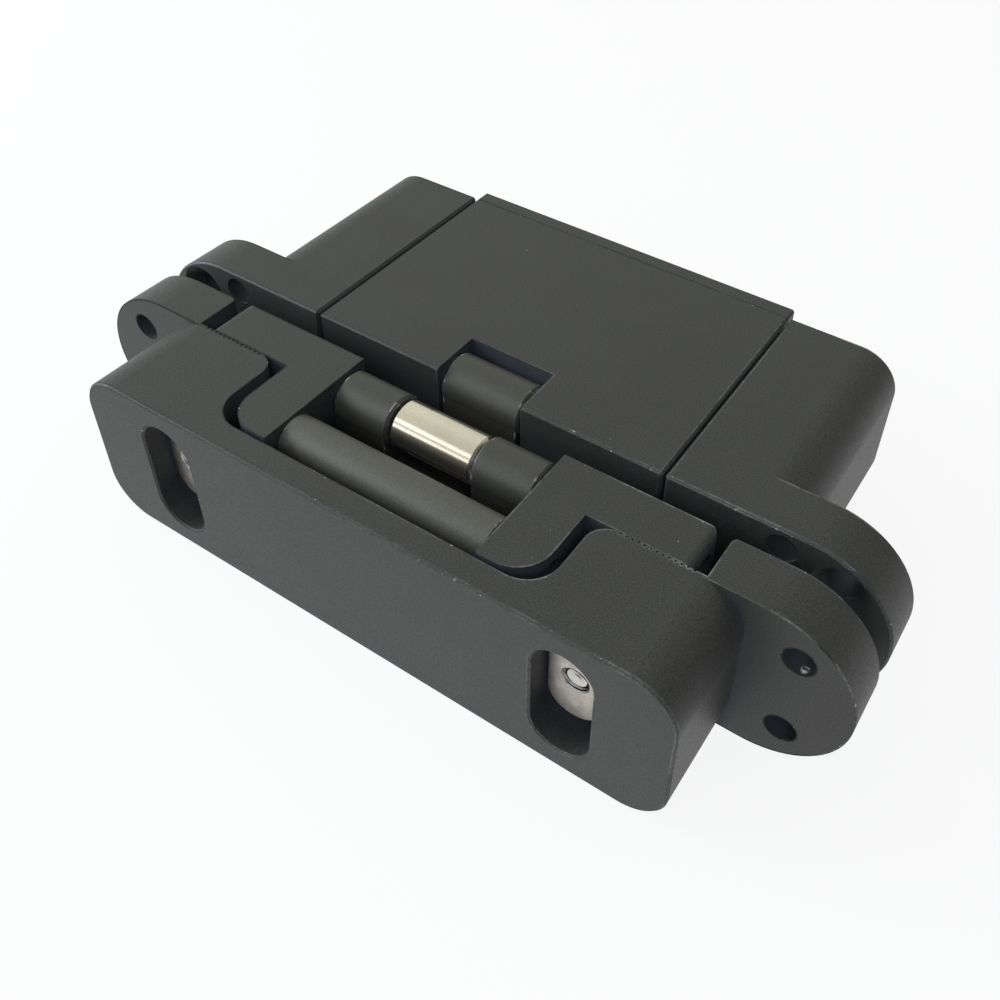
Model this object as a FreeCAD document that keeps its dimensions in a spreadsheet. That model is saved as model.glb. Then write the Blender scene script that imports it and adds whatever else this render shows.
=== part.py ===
"""Concealed gate hinge, closed, as a parametric assembly in millimetres.

X runs along the hinge, Y from the jamb (negative) to the gate (positive) and Z across the
thickness, with the knuckles near the top. The origin is the centre of the jamb plate's face.
"""

import FreeCAD, Part
import math
import os

import Sketcher

DOC = FreeCAD.newDocument("concealed_gate_hinge")
SHEET = DOC.addObject("Spreadsheet::Sheet", "Sizes")
VECTOR = FreeCAD.Vector
AXIS_Z = VECTOR(0, 0, 1)
ORIGIN_POINT = (-1, 1)
NEAR = 0.001


class Dim:
    """A length in millimetres with the sheet expression that drives it."""

    def __init__(self, value, text):
        self.value = value
        self.text = text

    def __add__(self, other):
        return Dim(self.value + other.value, f"({self.text} + {other.text})")

    def __sub__(self, other):
        return Dim(self.value - other.value, f"({self.text} - {other.text})")

    def __neg__(self):
        return Dim(-self.value, f"(0 - {self.text})")

    def __mul__(self, factor):
        return Dim(self.value * factor, f"({self.text} * {factor:.9f})")

    def __truediv__(self, factor):
        return Dim(self.value / factor, f"({self.text} / {factor})")


ZERO = Dim(0.0, "0")
LEFT, RIGHT = -1, 1
SIDES = {"left": LEFT, "right": RIGHT}
rows_used = 0


def size(alias, value):
    """Puts one driving size on the sheet and returns it."""
    global rows_used
    rows_used += 1
    SHEET.set(f"A{rows_used}", alias.replace("_", " "))
    SHEET.set(f"B{rows_used}", str(value))
    SHEET.setAlias(f"B{rows_used}", alias)
    return Dim(value, f"Sizes.{alias}")


# Plates and ears, the same on both halves
thickness = size("thickness", 28.0)
body_length = size("body_length", 101.4)
body_corner = size("body_corner", 7.0)
ear_flat = size("ear_flat", 2.3)
ear_thickness = size("ear_thickness", 8.4)
edge_break = size("edge_break", 0.35)
face_gap = size("face_gap", 4.4)

# Mounting holes in the ears
screw_setback = size("screw_setback", 8.8)
screw_edge = size("screw_edge", 6.6)
screw_hole = size("screw_hole_diameter", 4.5)
screw_sink = size("screw_sink_diameter", 8.8)

# Carriage
cheek_gap = size("cheek_gap", 36.2)
cheek_width = size("cheek_width", 8.3)
cheek_corner = size("cheek_corner", 5.5)
carriage_depth = size("carriage_depth", 21.1)
carriage_lift = size("carriage_lift", 2.0)
arm_end_gap = size("arm_end_gap", 2.1)
arm_end_round = size("arm_end_round", 1.5)
arm_corner = size("arm_corner", 0.8)
bridge_thickness = size("bridge_thickness", 4.0)
bridge_setback = size("bridge_setback", 5.0)
bridge_bite = size("bridge_bite", 2.0)
height_travel = size("height_travel", 3.0)
lateral_travel = size("lateral_travel", 1.0)
slide_play = size("slide_play", 0.03)

# Jamb housing
end_wall = size("end_wall", 6.3)
back_wall = size("back_wall", 4.2)
tongue_depth = size("tongue_depth", 7.9)
tongue_round = size("tongue_round", 3.3)
mouth_round = size("mouth_round", 1.4)
pocket_side_gap = size("pocket_side_gap", 1.9)
pocket_back_gap = size("pocket_back_gap", 0.7)
pocket_corner = size("pocket_corner", 5.0)

# Serrations that lock the carriage along the hinge
tooth_pitch = size("tooth_pitch", 0.9)
groove_width = size("groove_width", 0.46)
groove_depth = size("groove_depth", 0.4)
ridge_height = size("ridge_height", 0.12)
tooth_margin = size("tooth_margin", 0.8)

# Clamp screws and the nuts that they pull against
clamp_inset = size("clamp_inset", 7.8)
clamp_shank = size("clamp_shank_diameter", 4.0)
clamp_head = size("clamp_head_diameter", 8.4)
clamp_head_height = size("clamp_head_height", 3.2)
clamp_head_sink = size("clamp_head_sink", 0.3)
clamp_play = size("clamp_play", 0.3)
clamp_end_setback = size("clamp_end_setback", 0.6)
clamp_socket = size("clamp_socket_width", 4.0)
clamp_socket_depth = size("clamp_socket_depth", 1.8)
nut_slot_width = size("nut_slot_width", 9.2)
nut_slot_length = size("nut_slot_length", 20.6)
nut_inset = size("nut_inset", 3.7)
nut_thickness = size("nut_thickness", 4.5)
nut_play = size("nut_play", 0.2)
nut_mouth = size("nut_mouth_chamfer", 0.2)
slot_lip = size("slot_lip_chamfer", 0.3)

# Pivots
pivot_inset = size("pivot_inset", 4.1)
pivot_drop = size("pivot_drop", 4.3)
knuckle = size("knuckle_diameter", 8.4)
rim = size("rim_chamfer", 0.4)
pin = size("pin_diameter", 4.5)
pin_setback = size("pin_setback", 1.0)
bush_wall = size("bush_wall", 0.75)
running_play = size("running_play", 0.04)
tie_setback = size("tie_setback", 5.3)
tie_drop = size("tie_drop", 4.0)
tie_tube = size("tie_tube_diameter", 7.6)
sleeve = size("sleeve_diameter", 7.6)
sleeve_play = size("sleeve_play", 0.3)
washer = size("washer_diameter", 7.4)
washer_thickness = size("washer_thickness", 0.4)
washer_play = size("washer_play", 0.1)

# Link between the pivots
link_fork_gap = size("link_fork_gap", 15.0)
link_centre_width = size("link_centre_width", 14.2)
link_jamb_reach = size("link_jamb_reach", 3.0)
link_gate_play = size("link_gate_play", 0.8)
link_top_drop = size("link_top_drop", 4.7)
link_drop = size("link_drop", 10.7)
link_leg_relief = size("link_leg_relief", 0.1)
link_leg_bite = size("link_leg_bite", 2.5)
link_web = size("link_web", 3.0)
link_web_reach = size("link_web_reach", 1.0)
link_foot_round = size("link_foot_round", 2.0)

# Gate half
gate_depth = size("gate_depth", 42.5)
bracket_width = size("bracket_width", 19.1)
bracket_gap = size("bracket_gap", 0.45)
gap_break = size("gap_break", 0.35)
seam_break = size("seam_break", 0.15)
notch_back_play = size("notch_back_play", 0.6)
notch_floor_play = size("notch_floor_play", 1.5)
notch_round = size("notch_round", 3.0)
cap_thickness = size("cap_thickness", 2.9)
cap_screw_setback = size("cap_screw_setback", 10.9)
cap_screw_shank = size("cap_screw_shank_diameter", 3.0)
cap_screw_head = size("cap_screw_head_diameter", 5.6)
cap_screw_length = size("cap_screw_length", 10.0)
cap_screw_socket = size("cap_screw_socket_width", 2.0)
cap_screw_socket_depth = size("cap_screw_socket_depth", 1.0)
dowel = size("dowel_diameter", 6.0)
dowel_bite = size("dowel_bite", 8.0)
dowel_first = size("dowel_first", 14.0)
dowel_second = size("dowel_second", 30.0)
adjuster_setback = size("adjuster_setback", 1.2)
adjuster_drop = size("adjuster_drop", 3.4)
adjuster = size("adjuster_diameter", 4.8)
adjuster_length = size("adjuster_length", 6.0)
adjuster_inset = size("adjuster_inset", 1.2)
adjuster_socket = size("adjuster_socket_width", 2.5)
adjuster_socket_depth = size("adjuster_socket_depth", 2.0)

DOC.recompute()

# Lengths that follow from the pieces on both sides of a clearance
plate_length = body_length + ear_flat * 2 + thickness
recess_length = body_length - end_wall * 2
arm_span = recess_length - arm_end_gap * 2
cheek_span = cheek_gap + cheek_width * 2
pocket_length = cheek_span + pocket_side_gap * 2
pocket_depth = carriage_depth + pocket_back_gap
jamb_depth = pocket_depth + back_wall
carriage_height = thickness - carriage_lift
link_span = cheek_gap - (washer_thickness + washer_play) * 2
sleeve_length = link_fork_gap - sleeve_play * 2
notch_length = link_centre_width + (washer_thickness + washer_play) * 2
notch_depth = pivot_inset + knuckle / 2 + notch_back_play
notch_drop = pivot_drop + link_drop + notch_floor_play
block_length = body_length - (bracket_width + bracket_gap) * 2
bush = pin + bush_wall * 2

# Planes and axes that several pieces share
top = thickness / 2
gate_face = face_gap
gate_back = gate_face + gate_depth
cap_back = gate_back + cap_thickness
jamb_pivot_y = -pivot_inset
gate_pivot_y = gate_face + pivot_inset
pivot_z = top - pivot_drop
tie_y = tie_setback - carriage_depth
tie_z = top - tie_drop
clamp_x = arm_span / 2 - clamp_inset
clamp_z = top - carriage_height / 2
nut_seat_y = nut_inset + nut_thickness + slide_play - jamb_depth
nut_front_y = nut_seat_y - slide_play
nut_back_y = nut_front_y - nut_thickness
bracket_inner = block_length / 2 + bracket_gap
cap_screw_x = block_length / 2 - cap_screw_setback
adjuster_x = body_length / 2 - adjuster_setback
adjuster_z = top - adjuster_drop


def bind(thing, prop, dim):
    thing.setExpression(prop, dim.text)


def start_body(label):
    body = DOC.addObject("PartDesign::Body", label)
    body.Label = label
    return body


def origin_plane(body, role):
    for feature in body.Origin.OriginFeatures:
        if feature.Role == role:
            return feature
    raise RuntimeError(f"no {role} in {body.Label}")


def sketch_on(body, role, offset):
    """Starts a sketch on one of the body's own planes, moved along that plane's normal."""
    sketch = body.newObject("Sketcher::SketchObject", body.Label + "_sketch")
    sketch.AttachmentSupport = [(origin_plane(body, role), "")]
    sketch.MapMode = "FlatFace"
    bind(sketch, "AttachmentOffset.Base.z", offset)
    return sketch


def across(body, y):
    """A sketch in X and Z at the depth y. Its normal points to the jamb."""
    return sketch_on(body, "XZ_Plane", -y)


def plan(body, z):
    """A sketch in X and Y at the height z. Its normal points up."""
    return sketch_on(body, "XY_Plane", z)


def section(body, x):
    """A sketch in Y and Z at the station x. Its normal points to the right."""
    return sketch_on(body, "YZ_Plane", x)


def hold_point(sketch, geometry, point, u, v):
    """Fixes a point of the sketch at u, v with two driving dimensions."""
    for kind, dim in (("DistanceX", u), ("DistanceY", v)):
        rule = Sketcher.Constraint(kind, *ORIGIN_POINT, geometry, point, dim.value)
        index = sketch.addConstraint(rule)
        bind(sketch, f"Constraints[{index}]", dim)


def hold_radius(sketch, geometry, radius):
    index = sketch.addConstraint(Sketcher.Constraint("Radius", geometry, radius.value))
    bind(sketch, f"Constraints[{index}]", radius)


def polygon(sketch, corners):
    first = sketch.GeometryCount
    count = len(corners)
    for i in range(count):
        u, v = corners[i]
        next_u, next_v = corners[(i + 1) % count]
        start = VECTOR(u.value, v.value, 0)
        end = VECTOR(next_u.value, next_v.value, 0)
        sketch.addGeometry(Part.LineSegment(start, end), False)
    for i in range(count):
        following = first + (i + 1) % count
        sketch.addConstraint(Sketcher.Constraint("Coincident", first + i, 2, following, 1))
    for i in range(count):
        hold_point(sketch, first + i, 1, *corners[i])


def rectangle(sketch, u_low, u_high, v_low, v_high):
    polygon(sketch, [(u_low, v_low), (u_high, v_low), (u_high, v_high), (u_low, v_high)])


def circle(sketch, u, v, diameter):
    centre = VECTOR(u.value, v.value, 0)
    index = sketch.addGeometry(Part.Circle(centre, AXIS_Z, diameter.value / 2), False)
    hold_point(sketch, index, 3, u, v)
    hold_radius(sketch, index, diameter / 2)


def obround(sketch, u, v, length, width, upright):
    """A stadium outline centred at u, v."""
    reach = (length - width) / 2
    radius = width / 2
    along = (ZERO, reach) if upright else (reach, ZERO)
    turn = 0.0 if upright else -math.pi / 2
    ends = [(u + along[0], v + along[1]), (u - along[0], v - along[1])]
    first = sketch.GeometryCount
    arcs = []
    for k in range(2):
        centre = VECTOR(ends[k][0].value, ends[k][1].value, 0)
        round_end = Part.Circle(centre, AXIS_Z, radius.value)
        begin = turn + k * math.pi
        arcs.append(Part.ArcOfCircle(round_end, begin, begin + math.pi))
    for arc in arcs:
        sketch.addGeometry(arc, False)
    sketch.addGeometry(Part.LineSegment(arcs[0].EndPoint, arcs[1].StartPoint), False)
    sketch.addGeometry(Part.LineSegment(arcs[1].EndPoint, arcs[0].StartPoint), False)
    for a, b in ((0, 2), (2, 1), (1, 3), (3, 0)):
        sketch.addConstraint(Sketcher.Constraint("Tangent", first + a, 2, first + b, 1))
    sketch.addConstraint(Sketcher.Constraint("Equal", first, first + 1))
    hold_point(sketch, first, 3, *ends[0])
    hold_point(sketch, first + 1, 3, *ends[1])
    hold_radius(sketch, first, radius)


def hexagon(sketch, u, v, width):
    corner_radius = width / math.sqrt(3)
    corners = []
    for k in range(6):
        angle = k * math.pi / 3
        corner_u = u + corner_radius * math.cos(angle)
        corner_v = v + corner_radius * math.sin(angle)
        corners.append((corner_u, corner_v))
    polygon(sketch, corners)


def volume_of(body):
    return 0.0 if body.Shape.isNull() else body.Shape.Volume


def extrude(body, kind, sketch, length, backwards, symmetric):
    """Adds a Pad or a Pocket and makes sure that it changed the body as it should."""
    before = volume_of(body)
    feature = body.newObject("PartDesign::" + kind, f"{body.Label}_{kind.lower()}")
    feature.Profile = sketch
    bind(feature, "Length", length)
    feature.SideType = "Symmetric" if symmetric else "One side"
    feature.Reversed = backwards
    DOC.recompute()
    change = volume_of(body) - before
    if change * (1 if kind == "Pad" else -1) <= NEAR:
        raise RuntimeError(f"{feature.Label} changed the volume by {change}")
    return feature


def pad(body, sketch, length, backwards=False):
    return extrude(body, "Pad", sketch, length, backwards, False)


def pad_both(body, sketch, length):
    return extrude(body, "Pad", sketch, length, False, True)


def pocket(body, sketch, length, backwards=False):
    return extrude(body, "Pocket", sketch, length, backwards, False)


def pocket_both(body, sketch, length):
    return extrude(body, "Pocket", sketch, length, False, True)


def edges_at(body, wanted):
    """Names the edges whose two ends and middle all satisfy wanted(x, y, z)."""
    names = []
    for i, edge in enumerate(body.Shape.Edges, start=1):
        middle = edge.valueAt((edge.FirstParameter + edge.LastParameter) / 2)
        points = [vertex.Point for vertex in edge.Vertexes] + [middle]
        if all(wanted(p.x, p.y, p.z) for p in points):
            names.append(f"Edge{i}")
    if not names:
        raise RuntimeError(f"no such edge on {body.Label}")
    return names


def dress(body, kind, radius, wanted):
    """Fillets or chamfers the edges that wanted picks."""
    base = body.Tip
    names = edges_at(body, wanted)
    feature = body.newObject("PartDesign::" + kind, f"{body.Label}_{kind.lower()}")
    feature.Base = (base, names)
    bind(feature, "Radius" if kind == "Fillet" else "Size", radius)
    DOC.recompute()
    if "Invalid" in feature.State:
        raise RuntimeError(f"{feature.Label} failed")


def same(value, dim):
    return abs(value - dim.value) < NEAR


def on_circle(u, v, centre_u, centre_v, diameter):
    return same(math.hypot(u - centre_u.value, v - centre_v.value), diameter / 2)


def repeat_along_x(body, feature, sketch, pitch, count, leftwards):
    pattern = body.newObject("PartDesign::LinearPattern", body.Label + "_pattern")
    pattern.Originals = [feature]
    pattern.Direction = (sketch, ["H_Axis"])
    pattern.Reversed = leftwards
    bind(pattern, "Length", pitch * (count - 1))
    pattern.Occurrences = count
    body.Tip = pattern
    DOC.recompute()


def sink_cone(body, x, y, z, mouth, throat, depth, into_gate):
    """Cuts a countersink whose mouth lies on the face at y."""
    before = volume_of(body)
    cone = body.newObject("PartDesign::SubtractiveCone", body.Label + "_sink")
    bind(cone, "Radius1", mouth / 2)
    bind(cone, "Radius2", throat / 2)
    bind(cone, "Height", depth)
    cone.AttachmentSupport = [(origin_plane(body, "XY_Plane"), "")]
    cone.MapMode = "FlatFace"
    tilt = FreeCAD.Rotation(VECTOR(1, 0, 0), -90 if into_gate else 90)
    cone.AttachmentOffset = FreeCAD.Placement(VECTOR(), tilt)
    bind(cone, "AttachmentOffset.Base.x", x)
    bind(cone, "AttachmentOffset.Base.y", y)
    bind(cone, "AttachmentOffset.Base.z", z)
    DOC.recompute()
    if volume_of(body) > before - NEAR:
        raise RuntimeError(f"a countersink missed {body.Label}")


def countersunk_holes(body, y, spots, into_gate):
    """Through holes in an ear, with a 90 degree countersink on the face at y."""
    sketch = across(body, y)
    for x, z in spots:
        circle(sketch, x, z, screw_hole)
    pocket(body, sketch, ear_thickness, backwards=not into_gate)
    for x, z in spots:
        sink_cone(body, x, y, z, screw_sink, screw_hole, (screw_sink - screw_hole) / 2, into_gate)


def turned_along_x(label, profile, y, z):
    """Revolves an (x, radius) profile about an axis parallel to X."""
    body = start_body(label)
    sketch = plan(body, ZERO)
    polygon(sketch, profile)
    turn = body.newObject("PartDesign::Revolution", label + "_turn")
    turn.Profile = sketch
    turn.ReferenceAxis = (sketch, ["H_Axis"])
    bind(body, "Placement.Base.y", y)
    bind(body, "Placement.Base.z", z)
    DOC.recompute()
    return body


def turned_along_y(label, profile, x, z):
    """Revolves a (radius, y) profile about an axis parallel to Y."""
    body = start_body(label)
    sketch = plan(body, ZERO)
    polygon(sketch, profile)
    turn = body.newObject("PartDesign::Revolution", label + "_turn")
    turn.Profile = sketch
    turn.ReferenceAxis = (sketch, ["V_Axis"])
    bind(body, "Placement.Base.x", x)
    bind(body, "Placement.Base.z", z)
    DOC.recompute()
    return body


def group(label, members):
    made = DOC.addObject("Part::Compound", label)
    made.Label = label
    made.Links = members
    DOC.recompute()
    return made


def mirrored_copy(source):
    """The same piece on the other side of the hinge's middle."""
    copy = DOC.addObject("Part::Mirroring", source.Label + "_mirrored")
    copy.Source = source
    copy.Base = VECTOR(0, 0, 0)
    copy.Normal = VECTOR(1, 0, 0)
    DOC.recompute()
    return copy


def mount_spots(sides):
    """Centres of the mounting screws in the ears on the sides named."""
    spots = []
    for side in sides:
        for level in (1, -1):
            x = (plate_length / 2 - screw_setback) * side
            z = (top - screw_edge) * level
            spots.append((x, z))
    return spots


def teeth_between(start, end):
    """How many teeth fit on the flat between two stations, less a margin at its end."""
    return int((end.value - start.value - tooth_margin.value) / tooth_pitch.value)


def serrate(body, cut, low, length, y, foot, width, rise, end):
    """Rows of V-shaped teeth along Z, outwards from foot on both sides of the middle."""
    count = teeth_between(foot, end)
    for side in (LEFT, RIGHT):
        sketch = plan(body, low)
        tip = foot + width / 2
        polygon(sketch, [(foot * side, y), ((foot + width) * side, y), (tip * side, y - rise)])
        if cut:
            tooth = pocket(body, sketch, length, backwards=True)
        else:
            tooth = pad(body, sketch, length)
        repeat_along_x(body, tooth, sketch, tooth_pitch, count, side == LEFT)


def build_jamb_housing():
    body = start_body("jamb_housing")
    sketch = across(body, ZERO)
    obround(sketch, ZERO, ZERO, plate_length, thickness, False)
    pad(body, sketch, ear_thickness)
    dress(body, "Chamfer", edge_break, lambda x, y, z: same(y, ZERO))
    half = body_length / 2
    sketch = across(body, -ear_thickness)
    rectangle(sketch, -half, half, -top, top)
    pad(body, sketch, jamb_depth - ear_thickness)
    dress(body, "Fillet", body_corner, lambda x, y, z: same(abs(x), half) and same(abs(z), top))
    dress(body, "Chamfer", edge_break, lambda x, y, z: same(y, -jamb_depth))

    # The pocket and the recess for the carriage's arms are one milled outline
    inner = pocket_length / 2
    outer = recess_length / 2
    sketch = plan(body, ZERO)
    outline = [
        (-outer, face_gap),
        (-outer, -tongue_depth),
        (-inner, -tongue_depth),
        (-inner, -pocket_depth),
        (inner, -pocket_depth),
        (inner, -tongue_depth),
        (outer, -tongue_depth),
        (outer, face_gap),
    ]
    polygon(sketch, outline)
    pocket_both(body, sketch, thickness)
    dress(body, "Fillet", pocket_corner, lambda x, y, z: same(abs(x), inner) and same(y, -pocket_depth))
    dress(body, "Fillet", tongue_round, lambda x, y, z: same(abs(x), inner) and same(y, -tongue_depth))
    dress(body, "Fillet", mouth_round, lambda x, y, z: same(abs(x), outer) and same(y, ZERO))

    # Nut slots from the back, with a narrower way for the clamp screws
    sketch = across(body, -jamb_depth)
    for side in (LEFT, RIGHT):
        obround(sketch, clamp_x * side, ZERO, nut_slot_length, nut_slot_width, True)
    pocket(body, sketch, jamb_depth + nut_seat_y)
    slot_half = nut_slot_width.value / 2 + NEAR
    near_slot = lambda x: abs(abs(x) - clamp_x.value) < slot_half
    dress(body, "Chamfer", slot_lip, lambda x, y, z: same(y, -jamb_depth) and near_slot(x))
    way = clamp_shank + clamp_play * 2
    sketch = across(body, nut_seat_y)
    for side in (LEFT, RIGHT):
        obround(sketch, clamp_x * side, clamp_z, way + lateral_travel * 2, way, True)
    pocket(body, sketch, -nut_seat_y)

    first = inner + tongue_round
    serrate(body, True, -top, thickness, -tongue_depth, first, groove_width, groove_depth, outer)
    countersunk_holes(body, ZERO, mount_spots((LEFT, RIGHT)), False)
    return body


def build_carriage():
    body = start_body("carriage")
    low = top - carriage_height
    inner = cheek_gap / 2
    outer = cheek_span / 2
    reach = arm_span / 2
    arm_back = slide_play - tongue_depth

    bridge = inner + bridge_bite
    sketch = plan(body, low)
    rectangle(sketch, -bridge, bridge, bridge_setback - carriage_depth, -bridge_setback)
    pad(body, sketch, bridge_thickness)
    sketch = plan(body, low)
    for side in (LEFT, RIGHT):
        cheek = [
            (inner * side, ZERO),
            ((reach - arm_corner) * side, ZERO),
            (reach * side, -arm_corner),
            (reach * side, arm_back),
            (outer * side, arm_back),
            (outer * side, -carriage_depth),
            (inner * side, -carriage_depth),
        ]
        polygon(sketch, cheek)
    pad(body, sketch, carriage_height)
    dress(body, "Fillet", cheek_corner, lambda x, y, z: same(abs(x), outer) and same(y, -carriage_depth))
    arm_end_edge = lambda x, y, z: same(abs(x), reach) and (same(z, top) or same(z, low))
    dress(body, "Fillet", arm_end_round, arm_end_edge)

    # The hinge pin goes in through the arms' ends, the tie pin through the cheeks' sides
    for y, z, length in ((jamb_pivot_y, pivot_z, arm_span), (tie_y, tie_z, cheek_span)):
        sketch = section(body, ZERO)
        circle(sketch, y, z, pin)
        pocket_both(body, sketch, length)

    # Ridges centred in the housing's grooves, with the same flanks
    ridge_width = groove_width * (ridge_height.value / groove_depth.value)
    first = pocket_length / 2 + tongue_round + (groove_width - ridge_width) / 2
    last = reach - arm_end_round
    serrate(body, False, low, carriage_height, arm_back, first, ridge_width, ridge_height, last)

    # Slots that let the arms shift along the hinge before they are clamped
    seat = clamp_head + clamp_play * 2
    way = clamp_shank + clamp_play * 2
    for width, depth in ((seat, clamp_head_height + clamp_head_sink), (way, tongue_depth + ridge_height)):
        sketch = across(body, ZERO)
        for side in (LEFT, RIGHT):
            obround(sketch, clamp_x * side, clamp_z, width + height_travel, width, False)
        pocket(body, sketch, depth, backwards=True)
    return body


def build_nut_plate(name, side):
    body = start_body("nut_plate_" + name)
    sketch = across(body, nut_front_y)
    length = nut_slot_length - nut_play * 2 - lateral_travel * 4
    obround(sketch, clamp_x * side, clamp_z, length, nut_slot_width - nut_play * 2, True)
    pad(body, sketch, nut_thickness)
    dress(body, "Chamfer", edge_break, lambda x, y, z: same(y, nut_back_y))
    sketch = across(body, nut_front_y)
    circle(sketch, clamp_x * side, clamp_z, clamp_shank)
    pocket(body, sketch, nut_thickness, backwards=True)
    mouth = lambda x, y, z: same(y, nut_back_y) and on_circle(x, z, clamp_x * side, clamp_z, clamp_shank)
    dress(body, "Chamfer", nut_mouth, mouth)
    return body


def build_clamp_screw(name, side):
    head_top = -clamp_head_sink
    head_low = head_top - clamp_head_height
    end = nut_back_y + clamp_end_setback
    shank = clamp_shank / 2
    head = clamp_head / 2
    profile = [
        (ZERO, head_top),
        (head - edge_break, head_top),
        (head, head_top - edge_break),
        (head, head_low),
        (shank, head_low),
        (shank, end),
        (ZERO, end),
    ]
    body = turned_along_y("clamp_screw_" + name, profile, clamp_x * side, clamp_z)
    sketch = across(body, head_top)
    hexagon(sketch, ZERO, ZERO, clamp_socket)
    pocket(body, sketch, clamp_socket_depth, backwards=True)
    return body


def build_pin(label, y, z, carrier_span):
    """A pin that ends a little inside the outer walls of what carries it."""
    half = carrier_span / 2 - pin_setback
    radius = pin / 2
    profile = [
        (-half, ZERO),
        (-half, radius),
        (half, radius),
        (half, ZERO),
    ]
    return turned_along_x(label, profile, y, z)


def rimmed(low, high, inside, outside):
    """The (x, radius) profile of a barrel with chamfered rims."""
    return [
        (low, inside / 2),
        (low, outside / 2 - rim),
        (low + rim, outside / 2),
        (high - rim, outside / 2),
        (high, outside / 2 - rim),
        (high, inside / 2),
    ]


def build_barrel(label, half, outside, y, z):
    """A tube that sits on a pin."""
    return turned_along_x(label, rimmed(-half, half, pin, outside), y, z)


def build_bush(label, low, high, y):
    """A plain bearing in a knuckle, with running play on the pin."""
    bore = pin / 2 + running_play
    profile = [
        (low, bore),
        (low, bush / 2),
        (high, bush / 2),
        (high, bore),
    ]
    return turned_along_x(label, profile, y, pivot_z)


def build_washers(label, seat, y):
    """A pair of thrust washers, each lying against the wall whose station is seat."""
    bore = pin / 2 + running_play
    profile = [
        (seat - washer_thickness, bore),
        (seat - washer_thickness, washer / 2),
        (seat, washer / 2),
        (seat, bore),
    ]
    right = turned_along_x(label + "_right", profile, y, pivot_z)
    return group(label, [right, mirrored_copy(right)])


def add_knuckle(body, y, low, high):
    """Adds a solid knuckle round the pivot axis at y."""
    sketch = plan(body, pivot_z)
    bind(sketch, "AttachmentOffset.Base.y", y)
    polygon(sketch, rimmed(low, high, ZERO, knuckle))
    turn = body.newObject("PartDesign::Revolution", body.Label + "_knuckle")
    turn.Profile = sketch
    turn.ReferenceAxis = (sketch, ["H_Axis"])
    DOC.recompute()


def build_link():
    body = start_body("pivot_link")
    left = -link_jamb_reach
    right = gate_face - link_gate_play
    foot = pivot_z - link_drop
    head = pivot_z - link_top_drop

    # Cross bar, low enough to clear the spacer sleeve and the gate's front edge as it swings
    sketch = section(body, ZERO)
    rectangle(sketch, left, right, foot, head)
    pad_both(body, sketch, link_span)
    long_edge = lambda x, y, z: same(z, foot) and (same(y, left) or same(y, right))
    dress(body, "Fillet", link_foot_round, long_edge)

    # Fork: a straight leg under each knuckle on the jamb's pin
    inner = link_fork_gap / 2
    outer = link_span / 2
    leg = knuckle / 2 - link_leg_relief
    for side in (LEFT, RIGHT):
        sketch = section(body, (inner + rim) * side)
        rectangle(sketch, jamb_pivot_y - leg, jamb_pivot_y + leg, head - link_leg_bite, pivot_z)
        pad(body, sketch, outer - inner - rim * 2, backwards=side == LEFT)

    # Single leg under the knuckle on the gate's pin, and the web that joins it to the cross bar
    half = link_centre_width / 2
    back = gate_pivot_y + link_web_reach
    sketch = section(body, ZERO)
    rectangle(sketch, right - link_web, back, foot + link_foot_round, head)
    pad_both(body, sketch, link_centre_width - rim * 2)
    sketch = section(body, ZERO)
    rectangle(sketch, gate_pivot_y - leg, back, head - link_leg_bite, pivot_z)
    pad_both(body, sketch, link_centre_width - rim * 2)

    add_knuckle(body, jamb_pivot_y, inner, outer)
    add_knuckle(body, jamb_pivot_y, -outer, -inner)
    add_knuckle(body, gate_pivot_y, -half, half)
    sketch = section(body, ZERO)
    circle(sketch, jamb_pivot_y, pivot_z, bush)
    circle(sketch, gate_pivot_y, pivot_z, bush)
    pocket_both(body, sketch, link_span)
    return body


def bore_dowels(body, wall, towards):
    """Two blind dowel bores that start at the wall and run to the left or the right."""
    sketch = section(body, wall)
    for depth in (dowel_first, dowel_second):
        circle(sketch, gate_face + depth, ZERO, dowel)
    pocket(body, sketch, dowel_bite, backwards=towards == RIGHT)


def build_gate_block():
    body = start_body("gate_block")
    half = block_length / 2
    sketch = across(body, gate_face)
    rectangle(sketch, -half, half, -top, top)
    pad(body, sketch, gate_depth, backwards=True)
    dress(body, "Chamfer", gap_break, lambda x, y, z: same(abs(x), half) and same(abs(z), top))
    dress(body, "Chamfer", edge_break, lambda x, y, z: same(y, gate_face))
    dress(body, "Chamfer", seam_break, lambda x, y, z: same(y, gate_back))

    # Notch for the link's single knuckle, open to the face and to the top
    sketch = plan(body, top)
    rectangle(sketch, -notch_length / 2, notch_length / 2, ZERO, gate_face + notch_depth)
    pocket(body, sketch, notch_drop)
    floor_z = top - notch_drop
    back_y = gate_face + notch_depth
    dress(body, "Fillet", notch_round, lambda x, y, z: same(z, floor_z) and same(y, back_y))

    sketch = section(body, ZERO)
    circle(sketch, gate_pivot_y, pivot_z, pin)
    pocket_both(body, sketch, block_length)
    bore_dowels(body, half, LEFT)
    bore_dowels(body, -half, RIGHT)
    sketch = across(body, gate_back)
    for side in (LEFT, RIGHT):
        circle(sketch, cap_screw_x * side, ZERO, cap_screw_shank)
    pocket(body, sketch, cap_screw_length - cap_thickness, backwards=True)
    return body


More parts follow.
